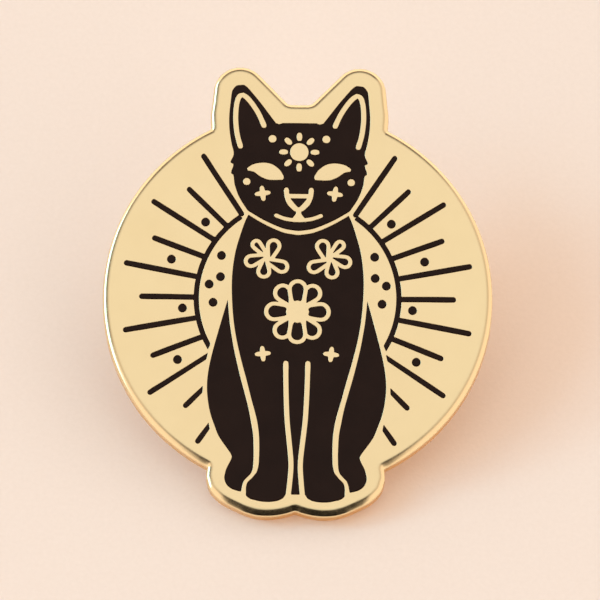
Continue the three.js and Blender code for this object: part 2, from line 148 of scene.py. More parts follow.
def is_corner(before, here, after):
    """Whether an outline turns sharply here on purpose, rather than going round a curve."""
    ALWAYS_SHARP = 75  # degrees
    SHARP_IF_LONG = 38  # degrees, where neither edge is a short step of a curve
    LONG_EDGE = 0.35
    came, goes = here - before, after - here
    turn = math.degrees(came.angle(goes))
    shorter = min(came.length, goes.length)
    return turn > ALWAYS_SHARP or (turn > SHARP_IF_LONG and shorter > LONG_EDGE)


def smooth_loop(loop, steps=4):
    """The outline with its curves made round and its corners given a small fillet."""
    SHORT_SPAN = 0.12  # shorter spans need fewer steps
    count = len(loop)
    corner = [is_corner(loop[i - 1], loop[i], loop[(i + 1) % count]) for i in range(count)]
    starts, ends, slopes = [], [], []
    for i in range(count):
        before, here, after = loop[i - 1], loop[i], loop[(i + 1) % count]
        if corner[i]:
            starts.append(here.lerp(after, min(0.4, CORNER_FILLET / (after - here).length)))
            ends.append(here.lerp(before, min(0.4, CORNER_FILLET / (before - here).length)))
            slopes.append(None)
        else:
            starts.append(here)
            ends.append(here)
            slopes.append((after - before).normalized())
    result = []
    for i in range(count):
        j = (i + 1) % count
        a, b = starts[i], ends[j]
        if corner[i]:
            for k in range(steps):
                t = k / steps
                result.append(bezier(ends[i], loop[i], a, t))
        span = b - a
        length = span.length
        straight = span.normalized()
        slope_a = slopes[i] or straight
        slope_b = slopes[j] or straight
        pieces = steps if length > SHORT_SPAN else 2
        for k in range(pieces):
            result.append(hermite(a, slope_a * length, b, slope_b * length, k / pieces))
    return drop_repeats(result)


def bezier(a, b, c, t):
    return a * (1 - t) ** 2 + b * 2 * t * (1 - t) + c * t * t


def hermite(a, slope_a, b, slope_b, t):
    return (
        a * (2 * t**3 - 3 * t**2 + 1)
        + slope_a * (t**3 - 2 * t**2 + t)
        + b * (3 * t**2 - 2 * t**3)
        + slope_b * (t**3 - t**2)
    )


def drop_repeats(loop, least=4e-3):
    kept = []
    for place in loop:
        if not kept or (place - kept[-1]).length > least:
            kept.append(place)
    if (kept[0] - kept[-1]).length <= least:
        kept.pop()
    return kept


def side_normals(loop):
    """At each point, the direction square to the outline, away from the material."""
    normals = []
    count = len(loop)
    for i in range(count):
        came = (loop[i] - loop[i - 1]).normalized()
        goes = (loop[(i + 1) % count] - loop[i]).normalized()
        a = Vector((came.y, -came.x))
        b = Vector((goes.y, -goes.x))
        normals.append((a + b) / max(1 + a.dot(b), 0.5))
    return normals


def odd_triangles(made):
    """Of a triangulation, the triangles with an odd number of outlines round them."""
    made_edges, triangles, edge_sources = made[1], made[2], made[4]
    outlines_on = {}
    for (a, b), of_outline in zip(made_edges, edge_sources):
        outlines_on[min(a, b), max(a, b)] = len(of_outline)
    beside = {}
    for number, triangle in enumerate(triangles):
        for a, b in zip(triangle, triangle[1:] + triangle[:1]):
            beside.setdefault((min(a, b), max(a, b)), []).append(number)
    depth = {}
    queue = []
    for edge, numbers in beside.items():
        if len(numbers) == 1 and numbers[0] not in depth:
            depth[numbers[0]] = outlines_on.get(edge, 0)
            queue.append(numbers[0])
    while queue:
        number = queue.pop()
        triangle = triangles[number]
        for a, b in zip(triangle, triangle[1:] + triangle[:1]):
            edge = (min(a, b), max(a, b))
            for other in beside[edge]:
                if other not in depth:
                    depth[other] = depth[number] + outlines_on.get(edge, 0)
                    queue.append(other)
    return [t for i, t in enumerate(triangles) if depth.get(i, 0) % 2]


def room_to_move(loop, normals, offset):
    """How much of an offset each point can take before the edges beside it would turn back."""
    TRIES = 14
    LEAST_LEFT = 0.05  # of an edge's length, after the move
    count = len(loop)
    share = [1.0] * count
    for _ in range(TRIES):
        moved = [p + n * offset * s for p, n, s in zip(loop, normals, share)]
        turned_back = [
            i for i in range(count)
            if (moved[i] - moved[i - 1]).dot(loop[i] - loop[i - 1])
            < LEAST_LEFT * (loop[i] - loop[i - 1]).length_squared
        ]
        if not turned_back:
            break
        for i in turned_back:
            share[i] *= 0.75
            share[i - 1] *= 0.75
    return share


# ------------------------------------------------------------------ mesh building


class Solid:
    """Collects rings of points, with the surface direction at each, and the faces between them."""

    def __init__(self, name, place=PIN):
        self.name = name
        self.place = place
        self.points = []
        self.normals = []
        self.faces = []
        self.slots = []

    def add(self, point, normal):
        self.points.append(Vector(point))
        self.normals.append(Vector(normal).normalized())
        return len(self.points) - 1

    def ring(self, loop, normals, offset, height, tilt):
        """An outline moved out by offset; tilt is the way the surface looks, 90 being up."""
        level, rise = math.cos(math.radians(tilt)), math.sin(math.radians(tilt))
        ring = []
        for place, side, share in zip(loop, normals, room_to_move(loop, normals, offset)):
            moved = place + side * offset * share
            facing = side.normalized() * level
            ring.append(self.add((moved.x, moved.y, height), (facing.x, facing.y, rise)))
        return ring

    def bridge(self, lower, upper, slot=0):
        """The band of faces between two rings."""
        count = len(lower)
        for i in range(count):
            j = (i + 1) % count
            self.face((lower[i], lower[j], upper[j], upper[i]), slot)

    def face(self, corners, slot=0):
        self.faces.append(corners)
        self.slots.append(slot)

    def fill(self, rings, upward, slot=0):
        """Closes the flat area between rings, leaving holes inside holes open by turns."""
        flat, edges, ids = [], [], []
        for ring in rings:
            first = len(flat)
            for i, index in enumerate(ring):
                flat.append(Vector((self.points[index].x, self.points[index].y)))
                ids.append(index)
                edges.append((first + i, first + (i + 1) % len(ring)))
        ALL_TRIANGLES = 0
        made = delaunay_2d_cdt(flat, edges, [], ALL_TRIANGLES, 1e-6)
        places, sources = made[0], made[3]
        height = self.points[rings[0][0]].z
        crossings = {}
        for triangle in odd_triangles(made):
            corners = []
            for i in triangle:
                if not sources[i] and i not in crossings:
                    up = (0, 0, 1 if upward else -1)
                    crossings[i] = self.add((*places[i], height), up)
                corners.append(ids[sources[i][0]] if sources[i] else crossings[i])
            self.face(tuple(corners if upward else corners[::-1]), slot)

    def finish(self, materials, body, replaces=()):
        mesh = bpy.data.meshes.new(self.name)
        world = [self.place @ p for p in self.points]
        mesh.from_pydata(world, [], self.faces)
        mesh.polygons.foreach_set("material_index", self.slots)
        mesh.polygons.foreach_set("use_smooth", [True] * len(self.faces))
        turn = self.place.to_3x3().normalized()
        mesh.normals_split_custom_set_from_vertices([turn @ n for n in self.normals])
        for material in materials:
            mesh.materials.append(material)
        mesh.update()
        piece = bpy.data.objects.new(self.name, mesh)
        bpy.context.scene.collection.objects.link(piece)
        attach(piece, body)
        if replaces:
            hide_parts(*replaces)
        return piece


# ------------------------------------------------------------------ materials


class Nodes:
    """A short way to write a material's node graph."""

    def __init__(self, name):
        self.material = bpy.data.materials.new(name)
        self.material.use_nodes = True
        self.tree = self.material.node_tree
        self.shader = self.tree.nodes["Principled BSDF"]
        coordinates = self.tree.nodes.new("ShaderNodeTexCoord")
        self.place = coordinates.outputs["Object"]

    def set(self, **values):
        for name, value in values.items():
            self.shader.inputs[name.replace("_", " ")].default_value = value

    def link(self, output, target):
        self.tree.links.new(output, target)

    def noise(self, per_metre, detail=2.0, stretch=(1, 1, 1), distortion=0.0):
        mapping = self.tree.nodes.new("ShaderNodeMapping")
        mapping.inputs["Scale"].default_value = stretch
        node = self.tree.nodes.new("ShaderNodeTexNoise")
        node.inputs["Scale"].default_value = per_metre
        node.inputs["Detail"].default_value = detail
        node.inputs["Distortion"].default_value = distortion
        self.link(self.place, mapping.inputs["Vector"])
        self.link(mapping.outputs["Vector"], node.inputs["Vector"])
        return node.outputs["Fac"]

    def spread(self, value, low, high, source=(0.3, 0.7)):
        node = self.tree.nodes.new("ShaderNodeMapRange")
        node.inputs["From Min"].default_value = source[0]
        node.inputs["From Max"].default_value = source[1]
        node.inputs["To Min"].default_value = low
        node.inputs["To Max"].default_value = high
        self.link(value, node.inputs["Value"])
        return node.outputs["Result"]

    def mix(self, factor, first, second):
        node = self.tree.nodes.new("ShaderNodeMix")
        node.data_type = "RGBA"
        node.inputs["A"].default_value = (*first, 1)
        node.inputs["B"].default_value = (*second, 1)
        self.link(factor, node.inputs["Factor"])
        return node.outputs["Result"]

    def bump(self, height, strength, distance, before=None):
        node = self.tree.nodes.new("ShaderNodeBump")
        node.inputs["Strength"].default_value = strength
        node.inputs["Distance"].default_value = distance
        self.link(height, node.inputs["Height"])
        if before is not None:
            self.link(before, node.inputs["Normal"])
        return node.outputs["Normal"]


def polished_gold(name, light, dark, roughness):
    """Bright plating: faint colour drift, a polisher's fine scratches and a little waviness."""
    nodes = Nodes(name)
    nodes.set(Metallic=1.0)
    drift = nodes.spread(nodes.noise(180, 3), 0, 1)
    nodes.link(nodes.mix(drift, light, dark), nodes.shader.inputs["Base Color"])
    haze = nodes.spread(nodes.noise(900, 4), roughness * 0.8, roughness * 1.25)
    nodes.link(haze, nodes.shader.inputs["Roughness"])
    waves = nodes.bump(nodes.noise(350, 1), 0.025, 0.0001)
    scratches = nodes.noise(2500, 2, stretch=(1, 14, 14))
    nodes.link(nodes.bump(scratches, 0.05, 0.00002, waves), nodes.shader.inputs["Normal"])
    return nodes.material


def blasted_gold():
    """The die's matt, finely grained back."""
    nodes = Nodes("gold_back")
    nodes.set(Metallic=1.0)
    drift = nodes.spread(nodes.noise(250, 4), 0, 1)
    nodes.link(
        nodes.mix(drift, (0.80, 0.60, 0.33), (0.70, 0.50, 0.25)), nodes.shader.inputs["Base Color"]
    )
    nodes.link(nodes.spread(nodes.noise(600, 3), 0.36, 0.5), nodes.shader.inputs["Roughness"])
    grain = nodes.bump(nodes.noise(6000, 3), 0.35, 0.00004)
    nodes.link(grain, nodes.shader.inputs["Normal"])
    return nodes.material


def black_enamel():
    """Warm black hard enamel, ground flush and polished: glossy, with a faint drag and specks."""
    nodes = Nodes("black_enamel")
    depth = nodes.spread(nodes.noise(500, 4), 0, 1)
    nodes.link(
        nodes.mix(depth, (0.0105, 0.0045, 0.0030), (0.0135, 0.0060, 0.0040)),
        nodes.shader.inputs["Base Color"],
    )
    nodes.link(nodes.spread(nodes.noise(1200, 3), 0.16, 0.26), nodes.shader.inputs["Roughness"])
    nodes.set(IOR=1.5, Specular_IOR_Level=0.1)
    waves = nodes.bump(nodes.noise(700, 2), 0.06, 0.00005)
    drag = nodes.noise(3000, 2, stretch=(12, 1, 1))
    nodes.link(nodes.bump(drag, 0.04, 0.00001, waves), nodes.shader.inputs["Normal"])
    return nodes.material


def paper():
    nodes = Nodes("paper")
    fibres = nodes.noise(2600, 5, distortion=0.4)
    tone = nodes.spread(fibres, 0, 1, (0.25, 0.75))
    nodes.link(
        nodes.mix(tone, (0.725, 0.66, 0.605), (0.75, 0.685, 0.63)), nodes.shader.inputs["Base Color"]
    )
    nodes.set(Roughness=0.9, Specular_IOR_Level=0.2)
    nodes.link(nodes.bump(fibres, 0.25, 0.00006), nodes.shader.inputs["Normal"])
    return nodes.material


GOLD_FACE = polished_gold("gold_face", (0.93, 0.74, 0.44), (0.91, 0.715, 0.415), 0.15)
GOLD_BACK = blasted_gold()
# The side wall and back edge get a deeper, darker orange copy of the face gold: a painted reflection of the shaded
# pink paper in front of and under the pin.
GOLD_WALL_PAINTED_SHADE = polished_gold("gold_wall_painted_shade", (0.90, 0.60, 0.24), (0.84, 0.53, 0.20), 0.3)
GOLD_FINDING = polished_gold("gold_finding", (0.88, 0.64, 0.30), (0.82, 0.57, 0.25), 0.24)
ENAMEL = black_enamel()

# ------------------------------------------------------------------ the plate


def quarter_round(solid, loop, normals, width, drop, edge_height, steps):
    """Rings that turn from the wall over to the flat: the flat ring comes last."""
    rings = []
    for step in range(steps + 1):
        turn = math.radians(90 * step / steps)
        offset = -width * (1 - math.cos(turn))
        height = edge_height + drop * math.sin(turn)
        slope = math.degrees(math.atan2(math.sin(turn) * width, math.cos(turn) * drop))
        rings.append(solid.ring(loop, normals, offset, height, slope))
    return rings


def plate_rim():
    """The front edge as (move from the outline, depth below the face, tilt), wall first."""
    STEPS = 8
    rise = math.tan(math.radians(RIM_LEAD_SLOPE))
    last = math.atan2(RIM_ROLL_HEIGHT, rise * RIM_ROLL_WIDTH)
    lead_drop = rise * RIM_LEAD_IN / 2
    whole_drop = lead_drop + RIM_ROLL_HEIGHT * math.sin(last)
    profile = []
    for step in range(STEPS + 1):
        turn = last * step / STEPS
        moved = -RIM_ROLL_WIDTH * (1 - math.cos(turn))
        depth = whole_drop - RIM_ROLL_HEIGHT * math.sin(turn)
        slope = math.atan2(math.sin(turn) / RIM_ROLL_HEIGHT, math.cos(turn) / RIM_ROLL_WIDTH)
        profile.append((moved, depth, math.degrees(slope)))
    roll_width = -profile[-1][0]
    for step in range(1, STEPS + 1):
        left = 1 - step / STEPS
        moved = -roll_width - RIM_LEAD_IN * (1 - left)
        slope = math.degrees(math.atan(rise * left))
        profile.append((moved, lead_drop * left**2, 90 - slope))
    return profile


def build_plate():
    """The die-struck plate: rounded back edge, side wall, rim, and the sunk cells for the enamel."""
    LINE_ROUND_STEPS = 3
    plate = Solid("pin_plate")
    outline = smooth_loop(max(flat_loops("plate", 0, -1), key=len))
    if area_of(outline) < 0:
        outline.reverse()
    normals = side_normals(outline)

    back = []
    for step in range(ROUND_STEPS + 1):
        turn = math.radians(90 * step / ROUND_STEPS)
        inset = -BACK_ROUND * (1 - math.sin(turn))
        height = BACK_ROUND * (1 - math.cos(turn))
        back.append(plate.ring(outline, normals, inset, height, math.degrees(turn) - 90))
    rim = [
        plate.ring(outline, normals, moved, THICKNESS - depth, tilt)
        for moved, depth, tilt in plate_rim()
    ]
    # The back edge and side wall take the darker gold, whose colour is a painted reflection of the shaded paper.
    for lower, upper in zip(back, back[1:]):
        plate.bridge(lower, upper, PLATE_WALL_PAINTED_SHADE)
    plate.bridge(back[-1], rim[0], PLATE_WALL_PAINTED_SHADE)
    for lower, upper in zip(rim, rim[1:]):
        plate.bridge(lower, upper, PLATE_FACE)
    plate.fill([back[0]], upward=False, slot=PLATE_BACK)

    floor_height = min(p.z for p in cad_points("head_enamel")) - ENAMEL_FLOOR_LIFT
    top_rings, floor_rings = [rim[-1]], []
    edges = flat_loops("plate", THICKNESS, 1)
    edges.sort(key=lambda loop: abs(area_of(loop)))
    for edge in edges[:-1]:
        loop = smooth_loop(edge)
        sides = side_normals(loop)
        floor = plate.ring(loop, sides, 0, floor_height, 0)
        turned = quarter_round(
            plate, loop, sides, LINE_ROUND, LINE_ROUND, THICKNESS - LINE_ROUND, LINE_ROUND_STEPS
        )
        for lower, upper in zip([floor] + turned, turned):
            plate.bridge(lower, upper)
        top_rings.append(turned[-1])
        floor_rings.append(floor)
    plate.fill(top_rings, upward=True)
    plate.fill(floor_rings, upward=True)
    plate.finish([GOLD_FACE, GOLD_BACK, GOLD_WALL_PAINTED_SHADE], "pin_body", ["plate"])


# ------------------------------------------------------------------ the enamel


def build_enamel(name):
    """One cell: flat and polished, with a fine rounded edge where it shrinks from the metal."""
    points = cad_points(name)
    top, bottom = max(p.z for p in points), min(p.z for p in points)
    cell = Solid(name + "_fill")
    MEETS_METAL = 0.018
    profile = [
        (MEETS_METAL, bottom, 0),
        (MEETS_METAL, top - 0.03, 20),
        (-0.03, top - 0.006, 70),
        (-0.09, top, 90),
    ]
    tops, bottoms = [], []
    for edge in flat_loops(name, top, 1):
        loop = smooth_loop(edge)
        sides = side_normals(loop)
        rings = [cell.ring(loop, sides, *step) for step in profile]
        for lower, upper in zip(rings, rings[1:]):
            cell.bridge(lower, upper)
        bottoms.append(rings[0])
        tops.append(rings[-1])
    cell.fill(tops, upward=True)
    cell.fill(bottoms, upward=False)
    cell.finish([ENAMEL], "pin_body", [name])


# ------------------------------------------------------------------ the nails and clutches


def lathe(solid, profile, centre, axis, steps=LATHE_STEPS):
    """Turns a closed profile of (radius, distance along the axis) about an axis.

    A profile that starts and ends on the axis makes a plug; one that closes on itself, a ring.
    """
    axis = Vector(axis).normalized()
    across = axis.orthogonal().normalized()
    other = axis.cross(across)
    normals = profile_normals(profile)
    rings = []
    for (radius, along), (out, forward) in zip(profile, normals):
        ring = []
        for i in range(steps):
            angle = 2 * math.pi * i / steps
            ray = across * math.cos(angle) + other * math.sin(angle)
            if radius < 1e-6:
                if not ring:
                    ring = [solid.add(centre + axis * along, axis * forward)] * steps
                continue
            ring.append(solid.add(centre + ray * radius + axis * along, ray * out + axis * forward))
        rings.append(ring)
    if profile[0][0] > 1e-6:
        rings.append(rings[0])
    for lower, upper in zip(rings, rings[1:]):
        for i in range(steps):
            j = (i + 1) % steps
            corners = [lower[i], lower[j], upper[j], upper[i]]
            kept = [c for k, c in enumerate(corners) if c != corners[k - 1]]
            if len(kept) > 2:
                solid.face(tuple(kept))


def profile_normals(profile):
    """The outward direction at each profile point, as (radial, axial)."""
    closed = profile[0][0] > 1e-6
    count = len(profile)
    normals = []
    for i, (radius, along) in enumerate(profile):
        before = profile[i - 1] if i or closed else profile[i]
        after = profile[(i + 1) % count] if i < count - 1 or closed else profile[i]
        step = Vector((after[0] - before[0], after[1] - before[1]))
        if radius < 1e-6:
            step = Vector((1, 0)) if i == 0 else Vector((-1, 0))
        normals.append((step.normalized().y, -step.normalized().x))
    return normals


def rounded(profile, radius, closed):
    """A profile with each corner cut back and turned through a small curve."""
    result = []
    count = len(profile)
    for i, corner in enumerate(profile):
        here = Vector(corner)
        if not closed and i in (0, count - 1):
            result.append(tuple(here))
            continue
        before, after = Vector(profile[i - 1]), Vector(profile[(i + 1) % count])
        start = here.lerp(before, min(0.45, radius / (before - here).length))
        end = here.lerp(after, min(0.45, radius / (after - here).length))
        result.extend(tuple(bezier(start, here, end, t / 4)) for t in range(5))
    return result


def build_nail(label):
    """A nail turned on the CAD nail's own profile, with eased corners."""
    CORNER = 0.09
    node = label + "_nail"
    points = cad_points(node)
    tip = min(points, key=lambda p: p.z)
    centre = Vector((tip.x, tip.y, 0))
    spots = {(round((p - centre).xy.length, 2), round(-p.z, 2)) for p in points}
    middle = {along: radius for radius, along in sorted(spots)}
    levels = sorted(middle)
    profile = [(0.0, 0.0)]
    profile += [(middle[along], along) for along in levels if middle[along] > 0.02]
    profile.append((0.0, -tip.z))
    solid = Solid(node + "_turned")
    lathe(solid, rounded(profile, CORNER, False), centre, (0, 0, -1))
    solid.finish([GOLD_FINDING], "pin_body", [node])
    return centre


def build_cap(label, centre, pivot_out, pivot_depth):
    """The pressed cap: embossed round its hole, with a rolled rim, and two cheeks for the wings."""
    node = label + "_clutch_cap"
    points = cad_points(node)
    front = max(p.z for p in points)
    radius = max(p.x for p in points) - centre.x
    inner = min((p - centre).xy.length for p in points)
    cheek_top = front - min(p.z for p in points)
    wall = radius - CAP_PLAY
    bead_height = CAP_RIM_HEIGHT - CAP_BEAD
    BEND = 0.12
    BEAD_STEPS = 8
    dish = [
        (inner, -CAP_PLAY), (inner + 0.5, -CAP_EMBOSS), (2.1, -CAP_EMBOSS), (2.5, 0.0),
        (radius - 0.3, 0.0), (wall, 0.28), (wall, bead_height),
    ]
    for step in range(1, BEAD_STEPS):
        turn = math.pi * step / BEAD_STEPS
        out = wall - CAP_BEAD + CAP_BEAD * math.cos(turn)
        dish.append((out, bead_height + CAP_BEAD * math.sin(turn)))
    dish += [
        (wall - CAP_SHEET, bead_height), (wall - CAP_SHEET, CAP_SHEET + 0.25),
        (radius - CAP_SHEET - 0.3, CAP_SHEET), (2.55, CAP_SHEET), (2.2, CAP_SHEET - CAP_EMBOSS),
        (inner + 0.55, CAP_SHEET - CAP_EMBOSS), (inner, CAP_SHEET - CAP_PLAY),
    ]
    cap = Solid(label + "_cap_pressed")
    origin = Vector((centre.x, centre.y, front))
    lathe(cap, rounded(dish, BEND, True), origin, (0, 0, -1))
    cap.finish([GOLD_FINDING], label + "_clutch", [node])

    for side, side_name in ((1, "upper"), (-1, "lower")):
        build_cheek(label, side, side_name, origin, pivot_out, pivot_depth, cheek_top)


def build_cheek(label, side, side_name, origin, pivot_out, pivot_depth, height):
    """An upright plate with rounded shoulders and a hole for each wing's pivot."""
    SHOULDER_STEPS, HOLE_STEPS = 6, 35
    foot = CAP_SHEET * 0.6
    half, shoulder = CHEEK_HALF_LENGTH, CHEEK_SHOULDER
    outline = [Vector((half, foot)), Vector((half, height - shoulder))]
    outline += circle_part(half - shoulder, height - shoulder, shoulder, 10, 80, SHOULDER_STEPS)
    outline.append(Vector((half - shoulder, height)))
    outline.append(Vector((shoulder - half, height)))
    outline += circle_part(shoulder - half, height - shoulder, shoulder, 100, 170, SHOULDER_STEPS)
    outline += [Vector((-half, height - shoulder)), Vector((-half, foot))]
    holes = [
        circle_part(x, pivot_depth, PIVOT_HOLE, 350, 0, HOLE_STEPS)
        for x in (pivot_out, -pivot_out)
    ]
    middle = CHEEK_INNER + CAP_SHEET / 2
    stand = Matrix(((1, 0, 0), (0, 0, 1), (0, -1, 0))).to_4x4()
    place = PIN @ Matrix.Translation(origin + Vector((0, side * middle, 0))) @ stand
    cheek = Solid(label + "_cheek_" + side_name, place)
    sheet_solid(cheek, [outline] + holes, CAP_SHEET, CHEEK_EDGE)
    cheek.finish([GOLD_FINDING], label + "_clutch")


def circle_part(x, y, radius, start, end, steps):
    points = []
    for i in range(steps + 1):
        angle = math.radians(start + (end - start) * i / steps)
        points.append(Vector((x + radius * math.cos(angle), y + radius * math.sin(angle))))
    return points


def sheet_solid(solid, loops, thickness, edge):
    """A flat sheet with eased edges; the first outline is its border, the rest its holes."""
    tops, bottoms = [], []
    half = thickness / 2
    for loop in loops:
        sides = side_normals(loop)
        rings = []
        for step in range(4):
            turn = math.radians(30 * step)
            rings.append(
                solid.ring(loop, sides, -edge * (1 - math.sin(turn)),
                           -half + edge * (1 - math.cos(turn)), 30 * step - 90)
            )
        rings += quarter_round(solid, loop, sides, edge, edge, half - edge, 3)
        for lower, upper in zip(rings, rings[1:]):
            solid.bridge(lower, upper)
        bottoms.append(rings[0])
        tops.append(rings[-1])
    solid.fill(tops, upward=True)
    solid.fill(bottoms, upward=False)


def build_wing(label, which, centre):
    """A bent spring leaf, lofted along its bend, with its knuckle round the pivot pin."""
    node = label + "_clutch_" + which + "_wing"
    joint = joints[label + "_" + which + "_wing_squeeze"]
    pivot = TO_PIN @ Vector(joint["pos_m"])
    side = 1 if pivot.x > centre.x else -1
    points = cad_points(node)
    lowest = min(p.z for p in points)
    tip_out = max(abs(p.x - centre.x) for p in points)
    jaw_out = min(abs(p.x - centre.x) for p in points)
    jaw_height = max(p.z for p in points if abs(p.x - centre.x) < jaw_out + 0.4)
    wide = max(p.y for p in points) - centre.y
    pivot_out = abs(pivot.x - centre.x)

    ends = [
        Vector((jaw_out + 0.13, jaw_height - 0.14)),
        Vector(((jaw_out + pivot_out) / 2, (jaw_height + pivot.z) / 2 - 0.05)),
        Vector((pivot_out, pivot.z)),
        Vector((pivot_out + 0.32, pivot.z - 1.1)),
        Vector((pivot_out + 1.2, pivot.z - 2.45)),
        Vector((tip_out - 0.1, lowest + 0.2)),
    ]
    SPAN_STEPS = 8
    line = []
    for i in range(len(ends) - 1):
        before = ends[i - 1] if i else ends[0]
        after = ends[i + 2] if i + 2 < len(ends) else ends[-1]
        slope_a = (ends[i + 1] - before) / 2
        slope_b = (after - ends[i]) / 2
        for k in range(SPAN_STEPS):
            line.append(hermite(ends[i], slope_a, ends[i + 1], slope_b, k / SPAN_STEPS))
    line.append(ends[-1])

    solid = Solid(label + "_" + which + "_wing_leaf")
    rings = []
    lengths = [0.0]
    for a, b in zip(line, line[1:]):
        lengths.append(lengths[-1] + (b - a).length)
    whole = lengths[-1]
    FLARE_FROM = 22  # the step of the line, just past the pivot, where the wing starts to widen
    WIDEST_AT = 0.55  # of the way from there to the tip
    TIP_SHARE = 0.35  # how much of its width the wing keeps at the tip
    flare_at = lengths[FLARE_FROM]
    for i, (here, run) in enumerate(zip(line, lengths)):
        before, after = line[max(i - 1, 0)], line[min(i + 1, len(line) - 1)]
        along = (after - before).normalized()
        up = Vector((-along.y, along.x))
        share = max(0.0, (run - flare_at) / (whole - flare_at))
        swell = math.sin(min(share / WIDEST_AT, 1) * math.pi / 2) ** 2
        width = WING_NARROW + (wide - WING_NARROW) * swell
        to_end = (whole - run) / WING_TIP_ROUND
        if to_end < 1:
            arch = math.sqrt(max(0.0, 1 - (1 - to_end) ** 2))
            width *= TIP_SHARE + (1 - TIP_SHARE) * arch
        shape = (solid, here, along, up, width, side, centre)
        if i == 0:
            rings.append(leaf_ring(*shape, facing=-along))
        rings.append(leaf_ring(*shape))
        if i == len(line) - 1:
            rings.append(leaf_ring(*shape, facing=along))
    for lower, upper in zip(rings, rings[1:]):
        solid.bridge(upper, lower) if side > 0 else solid.bridge(lower, upper)
    close_ring(solid, rings[0], side > 0)
    close_ring(solid, rings[-1], side < 0)

    PIN_CORNER, PIN_STEPS = 0.06, 40
    pin_profile = [
        (0, -PIVOT_HALF_LENGTH), (PIVOT_RADIUS, -PIVOT_HALF_LENGTH), (PIVOT_RADIUS, -WING_NARROW),
        (KNUCKLE_RADIUS, -WING_NARROW), (KNUCKLE_RADIUS, WING_NARROW),
        (PIVOT_RADIUS, WING_NARROW), (PIVOT_RADIUS, PIVOT_HALF_LENGTH), (0, PIVOT_HALF_LENGTH),
    ]
    pin_place = Vector((pivot.x, centre.y, pivot.z))
    lathe(solid, rounded(pin_profile, PIN_CORNER, False), pin_place, (0, 1, 0), PIN_STEPS)
    solid.finish([GOLD_FINDING], label + "_" + which + "_wing", [node])


def leaf_ring(solid, here, along, up, width, side, centre, facing=None):
    """A leaf's cross-section, a flat strip with fully rounded edges.

    Given a direction to face, the ring is drawn in a little, to round off the leaf's end.
    """
    END_SHARE = 0.6  # of the thickness, on a drawn-in ring
    END_OUT = 0.15
    half = WING_SHEET / 2 * (1 if facing is None else END_SHARE)
    flat = width - WING_SHEET / 2
    section = []
    for k in range(7):
        section.append(((k - 3) / 3 * flat, half, 0, 1))
    for k in range(1, 4):
        turn = math.pi / 2 - math.pi * k / 4
        section.append((flat + half * math.cos(turn), half * math.sin(turn),
                        math.cos(turn), math.sin(turn)))
    for k in range(7):
        section.append(((3 - k) / 3 * flat, -half, 0, -1))
    for k in range(1, 4):
        turn = -math.pi / 2 - math.pi * k / 4
        section.append((-flat + half * math.cos(turn), half * math.sin(turn),
                        math.cos(turn), math.sin(turn)))
    ring = []
    for across, rise, n_across, n_rise in section:
        point = here + up * rise
        if facing is not None:
            point = point + facing * WING_SHEET * END_OUT
        slope = up * n_rise if facing is None else facing
        sideways = n_across if facing is None else 0
        ring.append(solid.add(
            (centre.x + side * point.x, centre.y + across, point.y),
            (side * slope.x, sideways, slope.y)))
    return ring


def close_ring(solid, ring, forward):
    solid.face(tuple(ring) if forward else tuple(ring[::-1]))


# ------------------------------------------------------------------ assembly

build_plate()
enamel_nodes = [n for n in frame["record"]["behaviour"]["bodies"]["pin_body"]
                if n != "plate" and not n.endswith("_nail")]
for enamel_name in enamel_nodes:
    build_enamel(enamel_name)

for clutch_label in ("left", "right"):
    nail_centre = build_nail(clutch_label)
    front_z = (TO_PIN @ Vector(mounts[clutch_label + "_clutch_face"]["pos_m"])).z
    outer_pivot = TO_PIN @ Vector(joints[clutch_label + "_outer_wing_squeeze"]["pos_m"])
    build_cap(clutch_label, nail_centre, abs(outer_pivot.x - nail_centre.x),
              front_z - outer_pivot.z)
    build_wing(clutch_label, "outer", nail_centre)
    build_wing(clutch_label, "inner", nail_centre)

# ------------------------------------------------------------------ floor, light and camera

floor_mesh = bpy.data.meshes.new("paper_floor")
REACH = 1.2
floor_mesh.from_pydata(
    [(-REACH, -REACH, 0), (REACH, -REACH, 0), (REACH, REACH, 0), (-REACH, REACH, 0)],
    [], [(0, 1, 2, 3)])
floor_mesh.materials.append(paper())
floor = bpy.data.objects.new("paper_floor", floor_mesh)
bpy.context.scene.collection.objects.link(floor)


VIEW_OFFSET = Vector((0.2, -0.735))  # of the picture's middle from the middle of the plate
PLATE_MIDDLE = (PLATE_TOP_Y + PLATE_BOTTOM_Y) / 2
CENTRE = PIN @ Vector((VIEW_OFFSET.x, PLATE_MIDDLE + VIEW_OFFSET.y, THICKNESS))

# The room, as tints and as stops of (sine of the elevation, brightness, tint).
WARM = (1.0, 0.86, 0.74)
OVERHEAD = (1.0, 0.965, 0.9)
ROOM_STRENGTH = 1.0
COOL = (0.5, 0.85, 1.1)
CEILING = (0.965, 0.985, OVERHEAD)
FRONT_WALL = [(0.0, 0.02, WARM), (0.895, 0.02, WARM), (0.93, 0.9, OVERHEAD)]
BACK_WALL = [
    (0.0, 1.35, WARM), (0.825, 1.35, WARM), (0.845, 0.1, WARM), (0.9, 0.15, WARM),
    (0.94, 0.7, OVERHEAD),
]
LEFT_WALL = [
    (0.0, 0.8, WARM), (0.4, 0.8, WARM), (0.5, 3.5, COOL), (0.75, 3.5, COOL), (0.78, 0.2, WARM),
    (0.85, 0.3, WARM), (0.93, 0.95, OVERHEAD),
]
PLAIN_WALL = [
    (0.0, 1.15, WARM), (0.8, 1.15, WARM), (0.84, 0.7, WARM), (0.88, 0.7, WARM),
    (0.93, 0.95, OVERHEAD),
]


